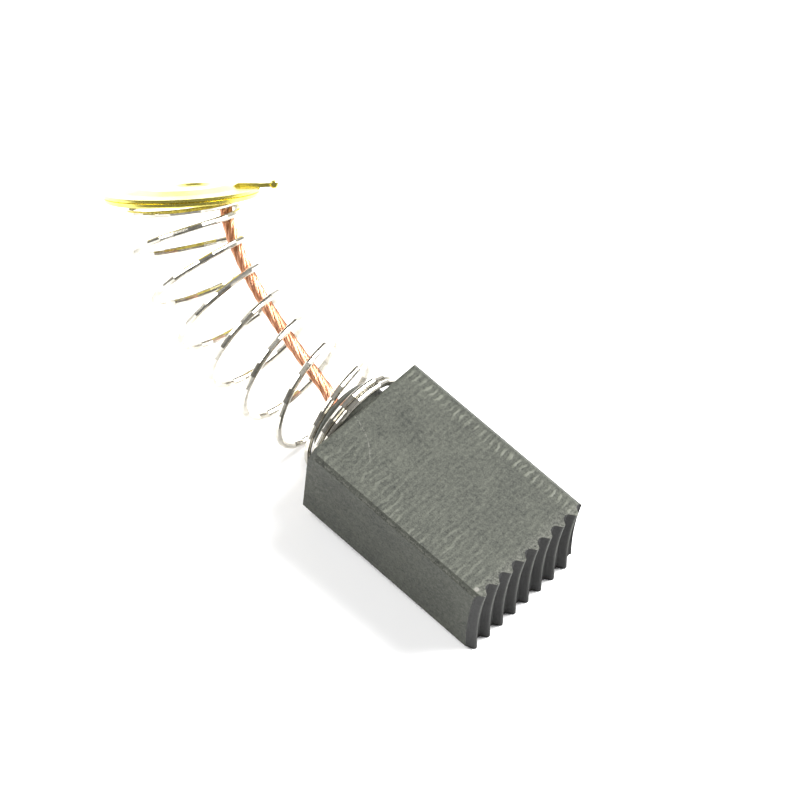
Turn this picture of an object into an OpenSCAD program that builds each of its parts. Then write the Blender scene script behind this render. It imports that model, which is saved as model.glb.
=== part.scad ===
// Carbon brush for a small motor.
// The block lies on its wide face, with its contact face towards +X and its spring towards -X.
// The origin is the middle of the bottom wide face, and +Z is up. All lengths are in millimetres.

/* [Carbon block] */
// Length from the back face to the tips of the contact ridges
block_l = 16.7; // [12:0.1:24]
// Width across the ridges
block_w = 11; // [10:0.1:15]
// Thickness of the block
block_t = 7.5; // [6:0.1:11]
// Bevel along the four long edges
edge_bevel = 0.3; // [0.05:0.05:0.5]
// Radius of the rounded edge above the back face
back_round = 0.3; // [0.2:0.1:1.5]
// Size of the corner that is worn off at the back
worn_corner = 1.2; // [0.4:0.1:1.8]

/* [Contact face] */
// Radius of the commutator that the contact face is shaped to
commutator_r = 30; // [10:0.5:40]
// Distance between two ridges
ridge_pitch = 1.35; // [1:0.05:2.5]
// Depth of the grooves between the ridges
ridge_depth = 0.55; // [0.3:0.05:1]
// Width of the flat tip of a ridge
ridge_tip = 0.16; // [0.05:0.01:0.3]
// Distance of the first ridge from the block's side
first_ridge = 0.57; // [0.3:0.01:1]

/* [Boss and shunt seat] */
// Diameter of the round boss inside the spring's first turns
boss_d = 6.4; // [5:0.1:7]
// How far the boss stands off the middle of the back face
boss_shift = 0.31; // [0:0.01:0.5]
// Height of the boss
boss_h = 2; // [1:0.1:2.6]
// Bevel around the top of the boss
boss_bevel = 0.35; // [0.1:0.05:0.6]
// Diameter of the hole for the shunt
seat_d = 2.2; // [1.6:0.1:3]
// Depth of that hole below the top of the boss
seat_depth = 6; // [4:0.1:8]

/* [Spring] */
// Mean diameter of the turns at the cap
coil_d = 8.05; // [7.8:0.05:9]
// How much wider the turns are at the block
coil_taper = 0.4; // [0:0.05:0.8]
// Diameter of the wire
wire_d = 0.5; // [0.4:0.05:0.6]
// Length along the bent axis, from the back face to the underside of the cap
spring_l = 22.72; // [20:0.01:30]
// Turns that are free to move
free_turns = 6.64; // [5:0.01:8]
// Closed turns at the block
block_turns = 1.9; // [1:0.01:2.2]
// Closed turns at the cap
cap_turns = 1.25; // [1:0.01:1.6]
// Where the wire starts around the block, in degrees
start_angle = 257; // [0:1:359]
// How much wider the turns stand near the block than in the middle
crowding = 0.02; // [0:0.01:0.3]
// Gap between closed turns, and between the end turns and their seats
turn_gap = 0.02; // [0.01:0.01:0.05]

/* [Bend of the spring] */
// Angle through which the axis bends
bend = 51.7; // [0:0.1:60]
// How late along the spring the bend comes, where 1 is a plain arc
bend_power = 1.93; // [1:0.01:2.5]
// Direction of the bend, from +Y towards +Z
bend_side = 52.5; // [30:0.5:90]
// Sideways lean where the spring leaves its closed turns
lean = 6; // [0:0.1:8]
// Upward lean at the same place
lift = 1.1; // [0:0.1:3]
// Last turn of the axis that lays the cap flat on the closed turns
cap_settle = 3.6; // [0:0.1:6]

/* [Shunt] */
// Diameter of the stranded copper lead
shunt_d = 1; // [0.7:0.05:1.1]
// Bundles of wires that are twisted together
bundles = 7; // [5:1:9]
// Length of one full twist
lay = 9; // [6:0.5:14]
// Clearance between the lead and the inside of the spring
shunt_gap = 0.18; // [0.05:0.01:0.3]
// Direction in which the lead leans out, from the inside of the bend
shunt_side = 29; // [0:1:60]

/* [Terminal cap] */
// Diameter of the brass cap
cap_d = 11.4; // [10.6:0.1:14]
// Thickness of the sheet
sheet = 0.3; // [0.25:0.05:0.4]
// Width of the rim that is folded down and under
rim_w = 0.55; // [0.4:0.05:0.8]
// Angle at which the cap leans on the spring
cap_lean = 2.4; // [0:0.1:3]
// Height of the raised middle
crown_h = 0.35; // [0.1:0.05:0.6]
// Diameter of the raised middle
crown_d = 8.4; // [7:0.1:9]
// Diameter of the round dimple in the middle
dimple_d = 2.8; // [1.5:0.1:4]
// Depth of the dimple
dimple_h = 0.15; // [0.05:0.05:0.2]
// How far the dimple stands off the middle, towards the lug
dimple_shift = 0.9; // [0:0.1:1]

/* [Lug] */
// Width of the lug's tail
tail_w = 0.55; // [0.4:0.05:1]
// How far the tail stands out past the rim
tail_l = 1.35; // [0.8:0.05:3]
// Width of the folded wing that grips the end of the lead
wing_w = 1.3; // [1:0.1:3]
// Height of the wing over the sheet
wing_h = 0.4; // [0.3:0.05:0.9]
// Diameter of the rolled tip
tip_d = 0.62; // [0.4:0.02:0.9]

/* [Hidden] */

seat_gap = 0.02;                // radial clearance of the plug in its hole and of the lead in the plug
plug_floor = 0.5;               // powder under the end of the lead
facets = 64;
wire_sides = 10;
rings_per_turn = 24;
step = 0.1;                     // length of one step along the spring's axis
settle_in = 1.5;                // length over which the spring leans off its closed turns
settle_out = 2.5;               // length over which it comes square to the cap
turn_pitch = wire_d + turn_gap;
end_inset = wire_d / 2 + turn_gap;
free_from = end_inset + block_turns * turn_pitch;
free_to = spring_l - end_inset - cap_turns * turn_pitch;
all_turns = block_turns + free_turns + cap_turns;
seat_z = block_t / 2;
back_x = -block_l / 2;
shunt_out = coil_d / 2 - wire_d / 2 - shunt_gap - shunt_d / 2;

function smooth(t) = let (u = min(1, max(0, t))) u * u * (3 - 2 * u);
function unit(v) = v / norm(v);

// The spring's axis. A distance s runs from the back face to the cap.
function leaning(s) = let (t = smooth((s - free_from) / settle_in)) [lean * t, lift * t];
function bent(s) =
    bend * pow(min(1, max(0, (s - free_from) / (free_to - free_from))), bend_power)
    + cap_settle * smooth((s - free_to + settle_out) / settle_out);
function straight(s) = let (a = leaning(s)) [-cos(a[0]) * cos(a[1]), -sin(a[0]) * cos(a[1]), sin(a[1])];
function sideways(s) = let (a = straight(s), d = [0, cos(bend_side), sin(bend_side)]) unit(d - (d * a) * a);
function along(s) = cos(bent(s)) * straight(s) + sin(bent(s)) * sideways(s);
function inward(s) = -sin(bent(s)) * straight(s) + cos(bent(s)) * sideways(s);
function across(s) = cross(along(s), inward(s));
steps = ceil(spring_l / step);
axis = [for (i = 0, p = [back_x, boss_shift, seat_z]; i <= steps + 1; i = i + 1,
    p = p + step * along((i - 0.5) * step)) p];
function centre(s) = let (i = min(steps, floor(s / step)), t = s / step - i) (1 - t) * axis[i] + t * axis[i + 1];
function around(s, angle) = cos(angle) * inward(s) + sin(angle) * across(s);
function coil_r(s) = (coil_d + coil_taper * (1 - s / spring_l)) / 2;

// A closed tube through a list of rings that have the same number of points.
module tube(rings) {
    n = len(rings[0]);
    last = len(rings) - 1;
    polyhedron(
        points = [for (ring = rings) for (p = ring) p],
        faces = concat(
            [[for (j = [0:n - 1]) j]],
            [for (i = [0:last - 1]) for (j = [0:n - 1])
                [i * n + j, (i + 1) * n + j, (i + 1) * n + (j + 1) % n, i * n + (j + 1) % n]],
            [[for (j = [n - 1:-1:0]) last * n + j]]));
}

// ---- Carbon block ----

module side_outline() {
    difference() {
        translate([back_x, 0])
            square([block_l, block_t]);
        translate([back_x, block_t - back_round])
            difference() {
                square(2 * back_round, center = true);
                translate([back_round, 0])
                    circle(back_round, $fn = facets);
                translate([-2 * back_round, -2 * back_round])
                    square([4 * back_round, 2 * back_round]);
            }
    }
}

module end_outline(grow = 0) {
    w = block_w / 2 + grow;
    b = edge_bevel;
    polygon([
        [-w + b, -grow], [w - b, -grow], [w, b - grow], [w, block_t - b + grow],
        [w - b, block_t + grow], [-w + b, block_t + grow], [-w, block_t - b + grow], [-w, b - grow]]);
}

// A flat that takes off the upper corner at the back, on the -Y side.
module corner_wear() {
    z = unit([-1, -1, 0.9]);
    x = unit(cross(z, [0, 0, 1]));
    y = cross(z, x);
    multmatrix([
        [x[0], y[0], z[0], back_x + 0.75 * worn_corner],
        [x[1], y[1], z[1], -block_w / 2],
        [x[2], y[2], z[2], block_t],
        [0, 0, 0, 1]])
        translate([-block_t / 2, -block_t / 2, 0])
            cube(block_t);
}

// The commutator's grooved drum, which cuts the ridges.
ridges = floor((block_w - first_ridge) / ridge_pitch) + 1;
groove_slope = [[0, 0], [0.12, 0.1], [0.38, 0.55], [0.62, 0.9], [1, 1]];
function groove(y0) =
    let (half = (ridge_pitch - ridge_tip) / 2, mid = y0 + ridge_pitch / 2)
    concat(
        [for (g = groove_slope) [commutator_r + g[1] * ridge_depth, mid - half * (1 - g[0])]],
        [for (k = [len(groove_slope) - 2:-1:0])
            let (g = groove_slope[k]) [commutator_r + g[1] * ridge_depth, mid + half * (1 - g[0])]]);
module drum() {
    first = -block_w / 2 + first_ridge;
    start = first - ridge_pitch;
    end = first + ridges * ridge_pitch;
    translate([block_l / 2 + sqrt(pow(commutator_r, 2) - pow(block_t / 2, 2)), 0, block_t / 2])
        rotate([-90, 0, 0])
            rotate_extrude($fn = 2 * facets)
                polygon(concat(
                    [[0, start]],
                    [for (i = [-1:ridges - 1]) for (p = groove(first + i * ridge_pitch)) p],
                    [[0, end]]));
}

module carbon_block() {
    color([0.23, 0.24, 0.23])
    difference() {
        union() {
            difference() {
                intersection() {
                    rotate([90, 0, 0])
                        linear_extrude(2 * block_w, center = true)
                            side_outline();
                    translate([back_x - 1, 0, 0])
                        rotate([90, 0, 90])
                            linear_extrude(block_l + 2)
                                end_outline();
                }
                drum();
                corner_wear();
            }
            translate([back_x, boss_shift, seat_z])
                rotate([0, -90, 0])
                    rotate_extrude($fn = facets)
                        polygon([
                            [0, -1], [boss_d / 2, -1], [boss_d / 2, boss_h - boss_bevel],
                            [boss_d / 2 - boss_bevel, boss_h], [0, boss_h]]);
        }
        translate([back_x - boss_h - 1, boss_shift, seat_z])
            rotate([0, 90, 0])
                cylinder(d = seat_d, h = seat_depth + 1, $fn = facets);
    }
}

// ---- Shunt and the copper powder that is tamped round it ----

// The lead leaves the boss on its axis and then swings out to the inside of the bend.
shunt_from = boss_h + 0.1;
swing_from = 1.5;
swing_to = 21;
swing_power = 2.2;
function swing(s) = 1 - pow(1 - min(1, max(0, (s - swing_from) / (swing_to - swing_from))), swing_power);
function beside(s) = centre(s) + shunt_out * swing(s) * around(s, shunt_side);
function shunt_at(s) =
    let (t = smooth((s - shunt_from) / 2), seat = [back_x - s, boss_shift, seat_z])
    s < shunt_from ? seat : (1 - t) * seat + t * beside(s);
shunt_start = boss_h - seat_depth + plug_floor + seat_gap;
shunt_end = spring_l;
lobe_points = 4;
lobe_depth = 0.16;              // depth of the valleys between the bundles, as a share of the radius
shunt_ring_step = 0.42;
function lobed(a) = shunt_d / 2 * (1 - lobe_depth * (1 - abs(cos(a * bundles / 2))));
module shunt() {
    count = ceil((shunt_end - shunt_start) / shunt_ring_step);
    n = bundles * lobe_points;
    rings = [for (i = [0:count])
        let (
            s = shunt_start + (shunt_end - shunt_start) * i / count,
            p = shunt_at(s),
            d = unit(shunt_at(min(s + 0.05, shunt_end)) - shunt_at(min(s + 0.05, shunt_end) - 0.1)),
            e = unit(cross(d, [0, 1, 0])),
            f = cross(d, e))
        [for (j = [0:n - 1])
            let (a = 360 * j / n, turn = a + 360 * s / lay)
            p + lobed(a) * (cos(turn) * e + sin(turn) * f)]];
    color([0.78, 0.48, 0.34])
        tube(rings);
}

module tamped_plug() {
    color([0.42, 0.25, 0.18])
    translate([back_x - boss_h + seat_depth, boss_shift, seat_z])
        rotate([0, -90, 0])
            difference() {
                cylinder(d = seat_d - 2 * seat_gap, h = seat_depth - 0.15, $fn = facets);
                translate([0, 0, plug_floor])
                    cylinder(d = shunt_d + 2 * seat_gap, h = seat_depth, $fn = facets);
            }
}

// ---- Spring ----

// Distance along the axis after t turns of wire.
function wound(t) =
    t < block_turns ? end_inset + turn_pitch * t :
    t > block_turns + free_turns ? free_to + turn_pitch * (t - block_turns - free_turns) :
    let (u = (t - block_turns) / free_turns)
    free_from + (free_to - free_from) * (u + crowding * u * (1 - u));
function wire_at(t) = let (s = wound(t)) centre(s) + coil_r(s) * around(s, start_angle + 360 * t);
module spring() {
    count = ceil(all_turns * rings_per_turn);
    rings = [for (i = [0:count])
        let (
            t = all_turns * i / count,
            p = wire_at(t),
            d = unit(wire_at(min(t + 0.01, all_turns)) - wire_at(max(t - 0.01, 0))),
            r = around(wound(t), start_angle + 360 * t),
            e = unit(r - (r * d) * d),
            f = cross(d, e))
        [for (j = [0:wire_sides - 1])
            let (a = 360 * j / wire_sides) p + wire_d / 2 * (cos(a) * e + sin(a) * f)]];
    color([0.72, 0.71, 0.68])
        tube(rings);
}

// ---- Cap ----

// Places its children on the end of the spring. +Z is out of the cap, +X is towards the lug, and
// the sheet's underside is at 0. The cap leans towards the lug, where it touches the last turn.
cap_r = cap_d / 2;
cap_top = sheet + crown_h;
module on_spring() {
    a = around(spring_l, shunt_side);
    b = along(spring_l);
    x = cos(cap_lean) * a - sin(cap_lean) * b;
    z = sin(cap_lean) * a + cos(cap_lean) * b;
    y = cross(z, x);
    p = centre(spring_l) + (coil_d / 2 + wire_d / 2) * tan(cap_lean) * b;
    multmatrix([
        [x[0], y[0], z[0], p[0]],
        [x[1], y[1], z[1], p[1]],
        [x[2], y[2], z[2], p[2]],
        [0, 0, 0, 1]])
        children();
}

module cap_disc() {
    rotate_extrude($fn = 2 * facets)
        polygon([
            [0, 0], [cap_r - rim_w - 0.1, 0], [cap_r - rim_w, -0.05], [cap_r - rim_w, -sheet + 0.08],
            [cap_r - rim_w + 0.08, -sheet], [cap_r - 0.16, -sheet], [cap_r - 0.04, -sheet + 0.1],
            [cap_r - 0.02, 0.02], [cap_r - 0.1, 0.06], [cap_r, 0.1], [cap_r, sheet - 0.08],
            [cap_r - 0.12, sheet], [crown_d / 2, sheet + 0.1], [crown_d / 2 - 0.9, cap_top], [0, cap_top]]);
}

module dimple() {
    translate([dimple_shift, 0, cap_top])
        rotate_extrude($fn = facets)
            polygon([
                [0, -dimple_h], [dimple_d / 2 - 0.35, -dimple_h], [dimple_d / 2 - 0.1, -0.04],
                [dimple_d / 2, 0], [dimple_d / 2, 1], [0, 1]]);
}

// The lug lies on the sheet: a folded wing that grips the end of the lead, then a narrow tail.
module lug() {
    from = shunt_out + 0.45;
    reach = cap_r - from;
    low = sheet / 2;
    intersection() {
        translate([from, 0, low])
            rotate([90, 0, 0])
                linear_extrude(wing_w, center = true)
                    polygon([
                        [-0.1, 0], [-0.1, low], [0, low + 0.1], [0.55, low + wing_h], [0.75, low + wing_h],
                        [reach - 0.2, low + sheet], [reach + 0.1, low + sheet - 0.05], [reach + 0.1, 0]]);
        translate([from, 0, 0])
            linear_extrude(6 * sheet)
                polygon([
                    [-0.1, -wing_w / 2], [0.7, -wing_w / 2], [reach, -tail_w / 2],
                    [reach, tail_w / 2], [0.7, wing_w / 2], [-0.1, wing_w / 2]]);
    }
    translate([cap_r - 0.25, -tail_w / 2, sheet - 0.04])
        cube([tail_l + 0.25 - tip_d / 2, tail_w, sheet]);
    translate([cap_r + tail_l - tip_d / 2, 0, 1.4 * sheet])
        rotate([90, 0, 0])
            rotate_extrude($fn = facets)
                polygon([
                    [0, -tail_w / 2 - 0.1], [tip_d / 2 - 0.1, -tail_w / 2 - 0.1], [tip_d / 2, -tail_w / 2],
                    [tip_d / 2, tail_w / 2], [tip_d / 2 - 0.1, tail_w / 2 + 0.1], [0, tail_w / 2 + 0.1]]);
}

module terminal_cap() {
    color([0.86, 0.75, 0.30])
    on_spring() {
        difference() {
            cap_disc();
            dimple();
        }
        lug();
    }
}

// The drop of solder between the end of the lead and the sheet.
module weld_bead() {
    color([0.30, 0.19, 0.14])
    on_spring()
        translate([shunt_out - shunt_d / 2 - 0.42, 0, -0.55])
            rotate_extrude($fn = facets)
                polygon([[0, 0], [0.25, 0], [0.4, 0.1], [0.4, 0.55], [0, 0.55]]);
}

carbon_block();
tamped_plug();
spring();
shunt();
weld_bead();
terminal_cap();
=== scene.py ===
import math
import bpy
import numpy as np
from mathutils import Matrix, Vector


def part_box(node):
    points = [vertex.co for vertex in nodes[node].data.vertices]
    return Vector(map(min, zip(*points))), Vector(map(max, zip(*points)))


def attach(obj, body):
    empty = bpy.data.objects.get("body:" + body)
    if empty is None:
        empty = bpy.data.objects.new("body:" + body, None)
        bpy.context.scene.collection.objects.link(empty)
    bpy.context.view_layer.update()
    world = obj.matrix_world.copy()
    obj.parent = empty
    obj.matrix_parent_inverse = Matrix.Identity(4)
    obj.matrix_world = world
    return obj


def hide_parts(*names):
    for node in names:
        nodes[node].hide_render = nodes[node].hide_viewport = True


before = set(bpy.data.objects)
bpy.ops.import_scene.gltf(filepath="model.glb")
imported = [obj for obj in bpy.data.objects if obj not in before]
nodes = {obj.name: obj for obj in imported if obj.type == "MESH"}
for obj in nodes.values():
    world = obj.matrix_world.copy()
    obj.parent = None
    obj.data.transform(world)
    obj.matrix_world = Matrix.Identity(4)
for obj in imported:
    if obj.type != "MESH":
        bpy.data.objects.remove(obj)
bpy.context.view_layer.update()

# %% [markdown]
# # A carbon brush, piece by piece
# A carbon brush brings current to the turning part of a small motor. A block of pressed graphite rubs on the
# commutator, a coil spring pushes it on, and a stranded copper lead, the shunt, carries the current past the
# spring to a brass cap. Lengths are in metres here, and `mm` keeps the numbers readable.

mm = 0.001
print("nodes:", sorted(nodes))


def only(obj):
    bpy.ops.object.select_all(action="DESELECT")
    obj.select_set(True)
    bpy.context.view_layer.objects.active = obj


# %% [markdown]
# ## A small language for materials
# Node graphs are easier to read as sums. `Val` wraps one socket, so that `a * 2 + b` builds the Math nodes, and
# `g.node(...)` makes any other node: its settings are set first, and its inputs after that.

# %% Shader maths
class Val:
    def __init__(self, g, socket):
        self.g, self.socket = g, socket

    def math(self, op, *others):
        return self.g.math(op, self, *others)

    def __add__(self, o): return self.math("ADD", o)
    def __sub__(self, o): return self.math("SUBTRACT", o)
    def __mul__(self, o): return self.math("MULTIPLY", o)
    def __radd__(self, o): return self.math("ADD", o)
    def __rsub__(self, o): return self.g.math("SUBTRACT", o, self)
    def __abs__(self): return self.math("ABSOLUTE")

    def clamp(self): return self.g.math("ADD", self, 0.0, clamp=True)

    def step(self, low, high):
        """0 below low and 1 above high, smooth between them."""
        return self.g.node("ShaderNodeMapRange", dict(interpolation_type="SMOOTHSTEP"),
                           {"Value": self, "From Min": low, "From Max": high}, "Result")


class Graph:
    def __init__(self, name):
        self.mat = bpy.data.materials.new(name)
        self.mat.use_nodes = True
        self.tree = self.mat.node_tree
        self.tree.nodes.clear()

    def put(self, socket, value):
        if isinstance(value, Val):
            self.tree.links.new(value.socket, socket)
        elif isinstance(value, (tuple, list)) and len(value) == 3 and socket.type == "RGBA":
            socket.default_value = (*value, 1.0)
        else:
            socket.default_value = value

    def node(self, kind, settings=None, inputs=None, out=0):
        n = self.tree.nodes.new(kind)
        for key, value in (settings or {}).items():
            setattr(n, key, value)
        for key, value in (inputs or {}).items():
            self.put(n.inputs[key], value)
        return n if out is None else Val(self, n.outputs[out])

    def math(self, op, *values, clamp=False):
        return self.node("ShaderNodeMath", dict(operation=op, use_clamp=clamp), dict(enumerate(values)))

    def vec(self, op, *values):
        key = "Value" if op == "DISTANCE" else "Vector"
        return self.node("ShaderNodeVectorMath", dict(operation=op), dict(enumerate(values)), key)

    def mix(self, factor, a, b):
        return self.node("ShaderNodeMix", dict(data_type="RGBA"), {0: factor, 6: a, 7: b}, 2)

    def where(self):
        return self.node("ShaderNodeTexCoord", None, None, "Object")

    def xyz(self, vector):
        n = self.node("ShaderNodeSeparateXYZ", None, {0: vector}, None)
        return [Val(self, s) for s in n.outputs]

    def stretched(self, vector, scale):
        return self.vec("MULTIPLY", vector, scale)

    def noise(self, vector, scale, detail, rough):
        return self.node("ShaderNodeTexNoise", None,
                         {"Vector": vector, "Scale": scale, "Detail": detail, "Roughness": rough})

    def bump(self, height, strength, distance):
        return self.node("ShaderNodeBump", None, {"Height": height, "Strength": strength, "Distance": distance})

    def finish(self, **inputs):
        shader = self.node("ShaderNodeBsdfPrincipled", None,
                           {k.replace("_", " "): v for k, v in inputs.items()})
        self.node("ShaderNodeOutputMaterial", None, {"Surface": shader}, None)
        return self.mat


def wear(obj, material):
    """Gives the piece this one material."""
    obj.data.materials.clear()
    obj.data.materials.append(material)


# %% [markdown]
# ## Graphite
# The block is sawn and ground from pressed graphite, so its wide faces carry fine parallel lines along Y, the
# direction of the grinding. Between the lines lie pores and bright flecks of crystal. A painted highlight runs along
# the rounded top-left edge. The grooves of the contact face carry painted shade, near black, with only the ridge tips
# left out.

# %% Graphite material
low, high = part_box("carbon_block")
front, half_w, top_z = high[0], high[1], high[2]
ridge_pitch, first_ridge = 1.35 * mm, 0.57 * mm
line_pitch = 0.58 * mm
scratch_centre, scratch_radius = (-9.2 * mm, -6.6 * mm, top_z), 5.75 * mm
chip_at = (7.55 * mm, -5.0 * mm, top_z)


def graphite():
    g = Graph("graphite")
    p = g.where()
    x, y, z = g.xyz(p)
    nx, _, nz = g.xyz(g.node("ShaderNodeNewGeometry", None, None, "Normal"))
    top = abs(nz).step(0.80, 0.98)
    grain = g.noise(p, 9500.0, 3.0, 0.75)
    mottle = g.noise(p, 3600.0, 3.0, 0.6)
    cloud = g.noise(p, 420.0, 3.0, 0.6)
    # grinding lines: a wave along X that wanders a little, strong near both long edges
    wander = g.noise(g.stretched(p, (700.0, 900.0, 300.0)), 1.0, 2.0, 0.5)
    wave = g.math("SINE", x * (2 * math.pi / line_pitch) + wander * 9.0 + y * 350.0)
    lines = wave.step(0.1, 0.95)
    fine = g.noise(g.stretched(p, (8500.0, 900.0, 1000.0)), 1.0, 3.0, 0.65)
    patch = g.noise(g.stretched(p, (900.0, 500.0, 500.0)), 1.0, 2.0, 0.5).step(0.38, 0.62)
    left = (y * -1000.0).step(0.8, 4.6) * patch
    dashes = (1.0 - (abs(y - (half_w - 0.95 * mm)) * 1000.0).step(0.15, 0.55)) * (0.35 + patch * 0.65)
    marks = lines * (left * 0.34 + dashes * 0.85 + 0.07)
    level = 0.36 + (grain - 0.5) * 1.15 + (mottle - 0.5) * 0.85 + (cloud - 0.5) * 0.45
    level = level + (fine - 0.5) * 0.5 * top + marks * top * 0.9
    colour = g.mix(level.clamp(), (0.010, 0.012, 0.009), (0.105, 0.110, 0.088))
    # a painted highlight on the rounded top-left edge, a lighter band across the top near the front, a fine curved
    # scratch and a chip at one corner
    edge_highlight = (1.0 - (abs(y + half_w - 0.06 * mm) * 1000.0).step(0.03, 0.12)) * (z * 1000.0).step(7.2, 7.35)
    band = (x * 1000.0).step(front * 1000 - 1.3, front * 1000 - 0.3) * top
    ring = g.vec("DISTANCE", p, scratch_centre)
    arc = (1.0 - (abs(ring - scratch_radius) * 1000.0).step(0.02, 0.07)) * (y * 1000.0).step(-3.2, -2.0) * top
    arc = arc * (x * -1000.0).step(3.2, 4.2)
    chip = 1.0 - (g.vec("DISTANCE", p, chip_at) * 1000.0).step(0.10, 0.24)
    spots = (grain * 0.6 + mottle * 0.4).step(0.42, 0.60)
    light = (edge_highlight * 0.55 * spots + band * 0.28 * spots + arc * 0.5 * spots + chip * 0.8).clamp()
    colour = g.mix(light, colour, (0.19, 0.185, 0.165))
    # painted shade: the walls of the grooves are painted near black, and only the tips of the ridges are left out of
    # it
    painted_shade_face = nx.step(0.12, 0.5) * (x * 1000.0).step(front * 1000 - 1.4, front * 1000 - 1.0)
    turn = g.math("PINGPONG", y + (half_w - first_ridge), ridge_pitch / 2) * 1000.0
    tip = (1.0 - turn.step(0.06, 0.16)) * (z * 1000.0).step(0.5, 5.5)
    colour = g.mix((painted_shade_face * (1.0 - tip * 0.75)).clamp(), colour, (0.0035, 0.0040, 0.0030))
    rough = 0.52 + (cloud - 0.5) * 0.2 + (1.0 - level) * 0.12
    height = grain * 0.6 + mottle * 0.5 + marks * 0.8 * top
    inputs = dict(Base_Color=colour, Roughness=rough.clamp(), Normal=g.bump(height, 0.5, 0.00004))
    return g.finish(Specular_IOR_Level=0.32, **inputs)


carbon = graphite()
wear(nodes["carbon_block"], carbon)
print("graphite on", nodes["carbon_block"].name)


# %% [markdown]
# ## Copper powder, weld and wire
# The lead is held in the block by copper powder that is rammed in round it. The drop that joins it to the cap is
# burnt brown. The spring is drawn steel wire with a nickel finish: drawing leaves it smooth and bright, with faint
# dull patches.

# %% Small metals
def powder():
    g = Graph("copper_powder")
    p = g.where()
    grain = g.noise(p, 14000.0, 2.0, 0.6)
    colour = g.mix(grain.step(0.3, 0.7), (0.07, 0.030, 0.018), (0.30, 0.14, 0.08))
    return g.finish(Base_Color=colour, Roughness=0.6, Metallic=0.8, Normal=g.bump(grain, 0.8, 0.00006))


def weld():
    g = Graph("weld")
    p = g.where()
    spots = g.noise(p, 3000.0, 3.0, 0.6)
    colour = g.mix(spots.step(0.35, 0.7), (0.035, 0.016, 0.010), (0.16, 0.075, 0.04))
    return g.finish(Base_Color=colour, Roughness=0.35, Metallic=0.6, Normal=g.bump(spots, 0.5, 0.00005))


def wire():
    g = Graph("spring_wire")
    p = g.where()
    cloud = g.noise(p, 900.0, 3.0, 0.6)
    fine = g.noise(p, 9000.0, 2.0, 0.6)
    colour = g.mix(cloud.step(0.35, 0.7), (0.66, 0.63, 0.56), (0.44, 0.42, 0.36))
    rough = 0.16 + cloud * 0.12 + (fine - 0.5) * 0.08
    return g.finish(Base_Color=colour, Roughness=rough, Metallic=1.0, Normal=g.bump(fine, 0.12, 0.00001))


wear(nodes["tamped_plug"], powder())
wear(nodes["weld_bead"], weld())
wear(nodes["spring"], wire())
print("powder, weld and wire are on")


# %% [markdown]
# ## Brass cap
# The cap is pressed from bright brass sheet. Pressing leaves a faint brushed sheen on the flat and small dents.

# %% Brass material
def brass():
    g = Graph("brass")
    p = g.where()
    cloud = g.noise(p, 350.0, 4.0, 0.6)
    fine = g.noise(p, 6000.0, 3.0, 0.6)
    scratch = g.noise(g.stretched(p, (2500.0, 500.0, 9000.0)), 1.0, 3.0, 0.6)
    colour = g.mix(cloud.step(0.35, 0.7), (0.90, 0.80, 0.20), (0.80, 0.68, 0.13))
    colour = g.mix(fine.step(0.55, 0.75) * 0.4, colour, (0.50, 0.40, 0.07))
    rough = 0.26 + (cloud - 0.5) * 0.2 + (scratch - 0.5) * 0.12
    height = scratch * 0.4 + fine * 0.4
    return g.finish(Base_Color=colour, Roughness=rough, Metallic=1.0, Normal=g.bump(height, 0.25, 0.00003))


wear(nodes["terminal_cap"], brass())


def copper():
    g = Graph("copper")
    p = g.where()
    cloud = g.noise(p, 900.0, 3.0, 0.6)
    fine = g.noise(p, 8000.0, 3.0, 0.6)
    colour = g.mix(cloud.step(0.3, 0.7), (0.80, 0.42, 0.26), (0.55, 0.25, 0.14))
    rough = 0.3 + (cloud - 0.5) * 0.2
    return g.finish(Base_Color=colour, Roughness=rough, Metallic=1.0, Normal=g.bump(fine, 0.2, 0.00002))


shunt_copper = copper()

# %% [markdown]
# ## The lead, strand by strand
# A real shunt is a rope: thin copper wires are twisted into bundles, and the bundles into a lead. One solid can't show
# that, so the lead is drawn again as wires that follow the same bent line. Each wire is a curve with a round bevel.
# The line repeats the part's own formulas: a distance `s` runs from the block's back face to the cap.

# %% The line of the lead
BEND, POWER, SIDE, LEAN, LIFT, SETTLE = 51.7, 1.93, 52.5, 6.0, 1.1, 3.6
SPRING_L, BOSS_H, BOSS_SHIFT, PLUG_FLOOR, SEAT_DEPTH = 22.72, 2.0, 0.31, 0.5, 6.0
WIRE_D, TURN_GAP, BLOCK_TURNS, CAP_TURNS, COIL_D = 0.5, 0.02, 1.9, 1.25, 8.05
SHUNT_D, SHUNT_GAP, SHUNT_SIDE = 1.0, 0.18, 29.0
LEAN_OVER, SETTLE_OVER = 1.5, 2.5      # mm over which the lean sets in and the last bend settles
STEP, STEPS_PER_MM = 0.1, 10           # how finely the bent axis is walked
OUT_FROM, OUT_OVER, OUT_POWER = 1.5, 19.5, 2.2  # how the lead moves out towards the coil
end_inset = WIRE_D / 2 + TURN_GAP
free_from = end_inset + BLOCK_TURNS * (WIRE_D + TURN_GAP)
free_to = SPRING_L - end_inset - CAP_TURNS * (WIRE_D + TURN_GAP)
shunt_out = COIL_D / 2 - WIRE_D / 2 - SHUNT_GAP - SHUNT_D / 2
back_x, seat_z = low[0] / mm + BOSS_H, top_z / mm / 2


def smooth(t):
    t = min(1.0, max(0.0, t))
    return t * t * (3 - 2 * t)


def unit(v):
    return v / np.linalg.norm(v)


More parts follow.
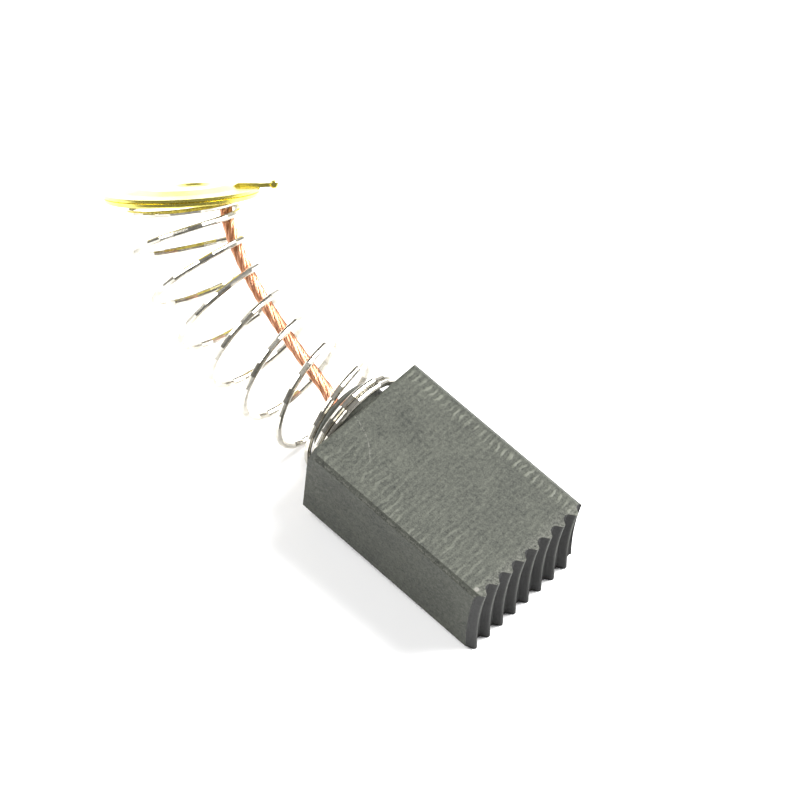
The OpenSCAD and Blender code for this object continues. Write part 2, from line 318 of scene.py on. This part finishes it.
def frame_at(s):
    """The axis at s: along it, towards the inside of the bend, and across both."""
    t = smooth((s - free_from) / LEAN_OVER)
    lean, lift = math.radians(LEAN * t), math.radians(LIFT * t)
    a = np.array([-math.cos(lean) * math.cos(lift), -math.sin(lean) * math.cos(lift), math.sin(lift)])
    d = np.array([0.0, math.cos(math.radians(SIDE)), math.sin(math.radians(SIDE))])
    d = unit(d - (d @ a) * a)
    share = min(1.0, max(0.0, (s - free_from) / (free_to - free_from)))
    th = math.radians(BEND * share ** POWER + SETTLE * smooth((s - free_to + SETTLE_OVER) / SETTLE_OVER))
    along = math.cos(th) * a + math.sin(th) * d
    inward = -math.sin(th) * a + math.cos(th) * d
    return along, inward, np.cross(along, inward)


axis_points = [np.array([back_x, BOSS_SHIFT, seat_z])]
for i in range(1, int(SPRING_L * STEPS_PER_MM) + 3):
    axis_points.append(axis_points[-1] + STEP * frame_at((i - 0.5) * STEP)[0])


def lead_at(s):
    """The middle of the lead at s: straight in its hole, then out along the axis and towards the coil."""
    seat = np.array([back_x - s, BOSS_SHIFT, seat_z])
    if s < BOSS_H + 0.1:
        return seat
    i = min(len(axis_points) - 2, int(s * STEPS_PER_MM))
    c = axis_points[i] + (s * STEPS_PER_MM - i) * (axis_points[i + 1] - axis_points[i])
    _, inward, across = frame_at(s)
    w = 1 - (1 - min(1.0, (s - OUT_FROM) / OUT_OVER)) ** OUT_POWER
    a = math.radians(SHUNT_SIDE)
    t = smooth((s - BOSS_H - 0.1) / 2)
    return (1 - t) * seat + t * (c + shunt_out * w * (math.cos(a) * inward + math.sin(a) * across))


# %% Bundles of wires
BUNDLES, WIRES, LAY, BUNDLE_LAY = 7, 7, 8.0, 3.4
STRAND_R, BUNDLE_OUT, WIRE_OUT = 0.062, 0.318, 0.115  # of a wire, and how far out bundles and wires lie
SAMPLE = 0.13
start = BOSS_H - SEAT_DEPTH + PLUG_FLOOR + 0.05
strand_curve = bpy.data.curves.new("shunt_strands", "CURVE")
strand_curve.dimensions = "3D"
strand_curve.bevel_depth = STRAND_R * mm
strand_curve.bevel_resolution = 1
strand_curve.use_fill_caps = True
steps = np.arange(start, SPRING_L - 0.02, SAMPLE)
centres = [lead_at(s) for s in steps]
for b in range(BUNDLES):
    for w in range(WIRES):
        points = []
        for k, s in enumerate(steps):
            d = unit(centres[min(k + 1, len(steps) - 1)] - centres[max(k - 1, 0)])
            e = unit(np.cross(d, [0.0, 1.0, 0.0]))
            f = np.cross(d, e)
            turn = 2 * math.pi * (b / BUNDLES + s / LAY)
            out = math.cos(turn) * e + math.sin(turn) * f
            side = -math.sin(turn) * e + math.cos(turn) * f
            spin = 2 * math.pi * (w / WIRES + b * 0.37 + s / BUNDLE_LAY)
            small = WIRE_OUT * (1 + 0.06 * math.sin(5 * w + 2 * b + 0.9 * s))
            tuck = 0.98 if s < SPRING_L - 1 else 0.94
            q = centres[k] + tuck * (BUNDLE_OUT * out + small * (math.cos(spin) * out + math.sin(spin) * side))
            points.append(q * mm)
        spline = strand_curve.splines.new("POLY")
        spline.points.add(len(points) - 1)
        for point, q in zip(spline.points, points):
            point.co = (*q, 1.0)
lead = bpy.data.objects.new("shunt_strands", strand_curve)
bpy.context.collection.objects.link(lead)
only(lead)
bpy.ops.object.convert(target="MESH")
lead = bpy.context.object
bpy.ops.object.shade_smooth()
wear(lead, shunt_copper)
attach(lead, "root")
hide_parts("shunt")
print("lead:", BUNDLES * WIRES, "wires,", len(lead.data.polygons), "faces")

# %% [markdown]
# ## Floor, light and camera
# The brush lies on a white table under a large soft lamp. The edge below the contact face and one turn of the spring
# touch the table, so the table is tilted under the part, which keeps its own frame level.

# %% Floor
TABLE_SIZE = 3.0


def floor_material():
    g = Graph("white_table")
    diffuse = g.node("ShaderNodeBsdfDiffuse", None, {"Color": (0.90, 0.90, 0.90)})
    g.node("ShaderNodeOutputMaterial", None, {"Surface": diffuse}, None)
    return g.mat


spring_points = np.array([v.co for v in nodes["spring"].data.vertices])
slope = float(np.max(-spring_points[:, 2] / (front - spring_points[:, 0])))
bpy.ops.mesh.primitive_plane_add(size=TABLE_SIZE, location=(front, 0, 0))
floor = bpy.context.object
floor.name = "table"
floor.rotation_euler = (0, -math.atan(slope), 0)
wear(floor, floor_material())
print("the table drops by", round(math.degrees(math.atan(slope)), 2), "degrees")

# %% Camera
elevation, azimuth, roll = (math.radians(a) for a in (57.265, -52.664, 7.638))
target = Vector((-10.35, 6.25, 0.0)) * mm
distance = 294.31 * mm
back = Vector((math.cos(elevation) * math.cos(azimuth),
               math.cos(elevation) * math.sin(azimuth),
               math.sin(elevation)))
right = Vector((0, 0, 1)).cross(back).normalized()
up = back.cross(right)
cam_x = math.cos(roll) * right + math.sin(roll) * up
cam_y = -math.sin(roll) * right + math.cos(roll) * up
camera_data = bpy.data.cameras.new("camera")
camera_data.lens = 182.3
camera_data.sensor_width = 36.0
camera_data.clip_start = 0.01
camera = bpy.data.objects.new("camera", camera_data)
bpy.context.collection.objects.link(camera)
camera.matrix_world = Matrix((
    (cam_x.x, cam_y.x, back.x, 0),
    (cam_x.y, cam_y.y, back.y, 0),
    (cam_x.z, cam_y.z, back.z, 0),
    (0, 0, 0, 1)))
camera.matrix_world.translation = target + back * distance
bpy.context.scene.camera = camera
print("camera at", [round(v, 4) for v in camera.matrix_world.translation])


# %% Lamps
def lamp(name, position, look_at, size, power):
    data = bpy.data.lights.new(name, "AREA")
    data.shape = "SQUARE"
    data.size = size
    data.energy = power
    obj = bpy.data.objects.new(name, data)
    bpy.context.collection.objects.link(obj)
    obj.location = Vector(position)
    obj.rotation_euler = (Vector(position) - Vector(look_at)).to_track_quat("Z", "Y").to_euler()
    return obj


lamp("key", (0.12, 0.36, 0.42), (0, 0, 0), 0.34, 9.5)
lamp("fill", (-0.30, -0.22, 0.40), (0, 0, 0), 0.30, 3.2)
world = bpy.data.worlds.new("room")
bpy.context.scene.world = world
world.use_nodes = True
background = world.node_tree.nodes["Background"]
background.inputs["Color"].default_value = (1, 1, 1, 1)
background.inputs["Strength"].default_value = 0.22
bpy.context.scene.view_settings.view_transform = "Standard"
